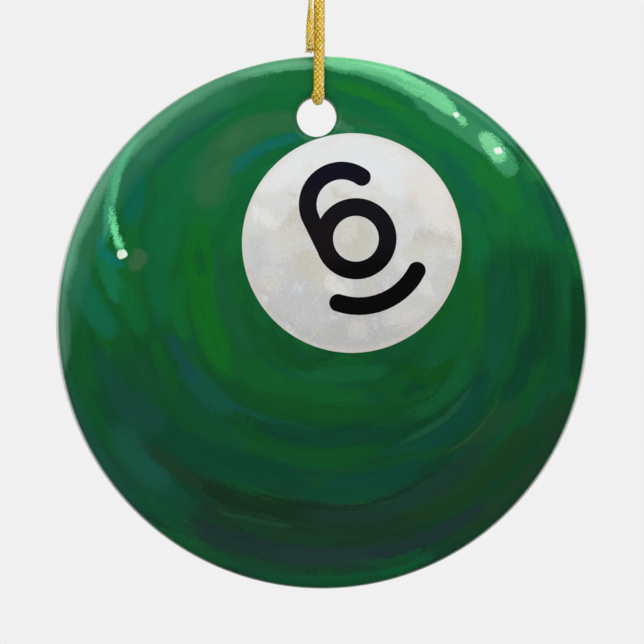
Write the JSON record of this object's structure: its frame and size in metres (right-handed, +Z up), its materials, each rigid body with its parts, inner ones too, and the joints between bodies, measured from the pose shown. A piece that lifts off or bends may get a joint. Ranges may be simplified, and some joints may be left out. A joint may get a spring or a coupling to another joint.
{
  "type": "hanging disc ornament",
  "caption": "Flat round glazed porcelain ornament with a printed green numbered pool ball, hung from a knotted gold cord through a hole near its rim.",
  "frame": {"origin": "the hang point: the inside of the crown of the cord's loop, where a hook bears", "axes": "+Z up; the printed face looks towards -Y; +X to the right as the picture is read"},
  "size_m": [0.073, 0.0065, 0.1338],
  "materials": {
    "glazed_porcelain": "white, fired gloss glaze",
    "green_print": "painterly green print under gloss",
    "white_print": "painterly off-white print under gloss",
    "black_print": "near-black print under gloss",
    "gold_cord": "braided metallic gold yarn"
  },
  "bodies": {
    "hook_bight": {"loop_crown": "gold_cord"},
    "loop": {"loop_leg_left_front": "gold_cord", "loop_leg_left_back": "gold_cord", "loop_leg_right_front": "gold_cord", "loop_leg_right_back": "gold_cord"},
    "knot_body": {"knot": "gold_cord"},
    "sling": {"strand_front": "gold_cord", "strand_back": "gold_cord", "hole_bight": "gold_cord", "tail_left": "gold_cord", "tail_right": "gold_cord"},
    "disc": {"porcelain_disc": "glazed_porcelain", "print_green": "green_print", "print_spot": "white_print", "print_six": "black_print", "print_bar": "black_print"}
  },
  "joints": [
    {"name": "side_swing", "type": "hinge", "parent": "hook_bight", "child": "loop", "pos_m": [0, 0, 0.0005], "axis": [0, 1, 0], "range_deg": [-45, 45]},
    {"name": "cord_twist", "type": "hinge", "parent": "loop", "child": "knot_body", "pos_m": [0, 0, -0.04135], "axis": [0, 0, 1], "range_deg": [-180, 180]},
    {"name": "front_swing", "type": "hinge", "parent": "knot_body", "child": "sling", "pos_m": [0, 0, -0.04635], "axis": [1, 0, 0], "range_deg": [-45, 45]},
    {"name": "side_rock", "type": "hinge", "parent": "sling", "child": "disc", "pos_m": [-0.0002, 0, -0.066], "axis": [0, 1, 0], "range_deg": [-40, 40]}
  ]
}
